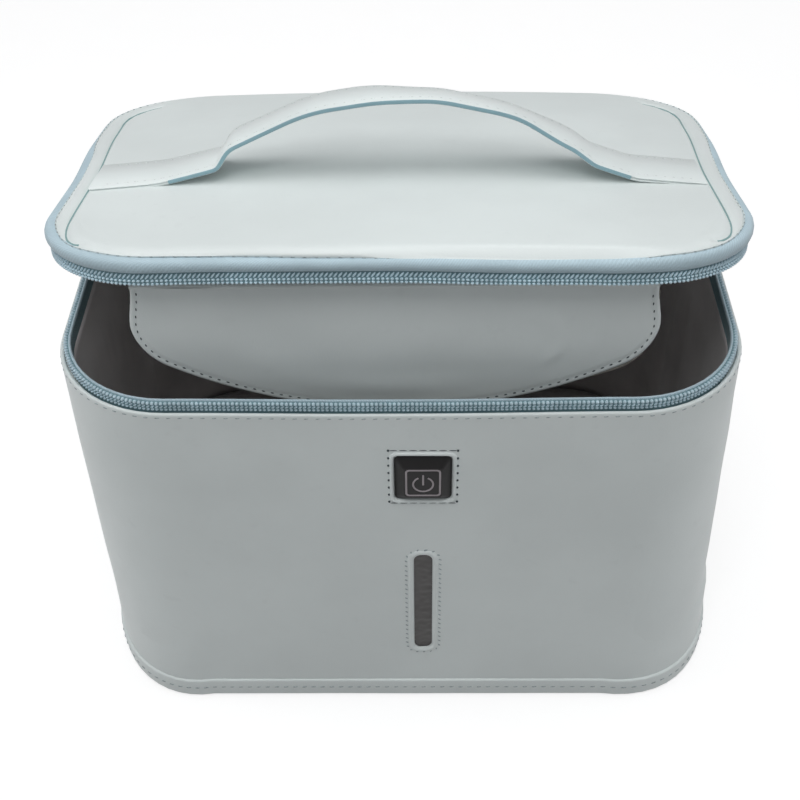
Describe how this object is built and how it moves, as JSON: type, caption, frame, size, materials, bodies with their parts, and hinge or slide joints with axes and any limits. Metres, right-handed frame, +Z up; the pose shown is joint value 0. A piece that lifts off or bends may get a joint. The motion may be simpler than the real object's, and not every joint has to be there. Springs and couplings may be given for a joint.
{
  "type": "ultraviolet steriliser bag",
  "caption": "Box-shaped coated fabric bag with a padded zip-round lid, arched carry handle, start button, slot window, battery pocket with a flap, and an ultraviolet lamp under the lid.",
  "frame": {"origin": "centre of the underside of the base, on the surface that the bag stands on", "axes": "+Z up; the front wall with the button and the window faces -Y; +X to the right as seen from the front"},
  "size_m": [0.2784, 0.2137, 0.2574],
  "materials": {
    "coated_fabric": "satin",
    "board": "matte",
    "foam": "matte",
    "lining": "satin",
    "zip_tape": "matte",
    "zip_coil": "satin",
    "zip_metal": "satin",
    "black_plastic": "satin",
    "housing_plastic": "matte",
    "circuit": "satin",
    "smoke_window": "gloss",
    "lamp_plastic": "satin",
    "lamp_window": "gloss",
    "emitter": "gloss",
    "screw_steel": "satin",
    "magnet_steel": "satin",
    "battery_case": "satin",
    "elastic": "matte",
    "lead": "satin"
  },
  "bodies": {
    "box": {"body_shell": "coated_fabric", "base_panel": "coated_fabric", "base_hem": "coated_fabric", "base_board": "board", "body_board": "board", "body_lining": "lining", "body_zip_tape": "zip_tape", "body_zip_coil": "zip_coil", "body_zip_stops": "zip_metal", "hinge_body_leaf": "coated_fabric", "button_bezel": "housing_plastic", "control_housing": "housing_plastic", "control_board": "circuit", "tact_switch": "black_plastic", "window_lens": "smoke_window", "lid_sensor": "black_plastic", "control_lead": "lead"},
    "lid": {"lid_cover": "coated_fabric", "lid_foam": "foam", "lid_board": "board", "lid_lining": "lining", "lid_magnet": "magnet_steel", "lid_zip_tape": "zip_tape", "lid_zip_coil": "zip_coil", "lid_zip_stops": "zip_metal", "hinge_lid_leaf": "coated_fabric", "handle_lower_ply": "coated_fabric", "handle_upper_ply": "coated_fabric", "pocket_frame": "coated_fabric", "battery_pack": "battery_case", "battery_strap": "elastic", "lamp_housing": "lamp_plastic", "lamp_board": "circuit", "lamp_emitters": "emitter", "lamp_cover": "lamp_window", "lamp_screws": "screw_steel"},
    "flap": {"flap_skin": "coated_fabric", "flap_board": "board"},
    "button": {"button_cap": "black_plastic", "switch_plunger": "housing_plastic"},
    "slider_left": {"slider_left": "zip_metal"},
    "slider_right": {"slider_right": "zip_metal"},
    "pull_left": {"pull_left": "zip_metal"},
    "pull_right": {"pull_right": "zip_metal"}
  },
  "joints": [
    {"name": "lid_hinge", "type": "hinge", "parent": "box", "child": "lid", "pos_m": [0, 0.1044, 0.1792], "axis": [-1, 0, 0], "range_deg": [-13.7, 95]},
    {"name": "flap_hinge", "type": "hinge", "parent": "lid", "child": "flap", "pos_m": [0, -0.08393, 0.21945], "axis": [1, 0, 0], "range_deg": [-8, 75]},
    {"name": "button_press", "type": "slide", "parent": "box", "child": "button", "axis": [0, 1, 0], "range_m": [0, 0.0008], "stiffness_N_per_m": 900, "springref_m": -0.001},
    {"name": "slider_left_travel", "type": "slide", "parent": "box", "child": "slider_left", "axis": [0, -1, 0], "range_m": [0, 0.1]},
    {"name": "slider_right_travel", "type": "slide", "parent": "box", "child": "slider_right", "axis": [0, -1, 0], "range_m": [0, 0.1]},
    {"name": "pull_left_swing", "type": "hinge", "parent": "slider_left", "child": "pull_left", "pos_m": [-0.1374, 0.05, 0.1783], "axis": [0, 1, 0], "range_deg": [0, 120]},
    {"name": "pull_right_swing", "type": "hinge", "parent": "slider_right", "child": "pull_right", "pos_m": [0.1374, 0.05, 0.1783], "axis": [0, -1, 0], "range_deg": [0, 120]}
  ]
}
